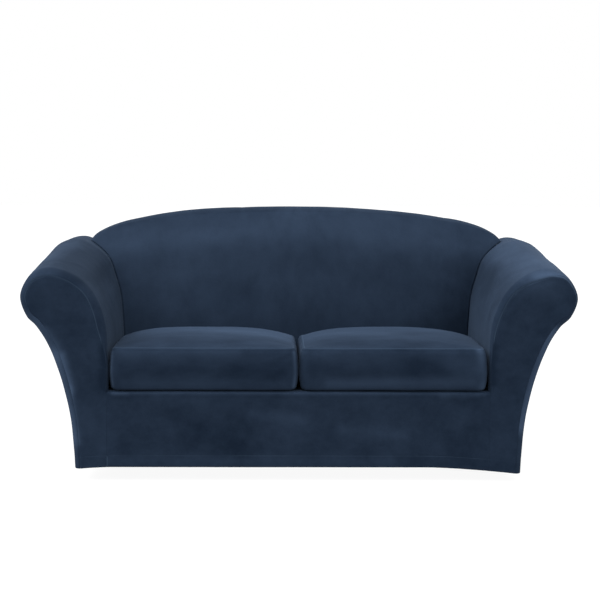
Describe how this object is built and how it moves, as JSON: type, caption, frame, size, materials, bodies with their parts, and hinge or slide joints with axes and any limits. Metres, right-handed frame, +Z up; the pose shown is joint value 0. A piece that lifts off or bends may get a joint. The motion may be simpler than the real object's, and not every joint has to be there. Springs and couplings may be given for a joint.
{
  "type": "two-seat sofa slipcover",
  "caption": "Fitted stretch-velvet slipcover for a two-seat sofa with flared rolled arms and an arched back: a one-piece body cover and separate box covers for the seat cushions.",
  "frame": {"origin": "under the cloth at the middle of the crest of the back, where the top of the sofa's back holds the cover up", "axes": "+X to the viewer's right along the sofa, +Y to the back, +Z up; the front of the arms and rail faces -Y"},
  "size_m": [1.792, 0.869, 0.843],
  "materials": {
    "navy_velvet": "matt navy stretch velvet with a short pile and a soft pale sheen where it turns away"
  },
  "bodies": {
    "root": {"inside_back": "navy_velvet", "outside_back": "navy_velvet", "front_rail": "navy_velvet", "seat_deck": "navy_velvet", "arm_left": "navy_velvet", "arm_right": "navy_velvet", "arm_facing_left": "navy_velvet", "arm_facing_right": "navy_velvet", "cushion_band_left": "navy_velvet", "cushion_band_right": "navy_velvet", "cushion_top_left": "navy_velvet", "cushion_top_right": "navy_velvet"}
  },
  "joints": []
}
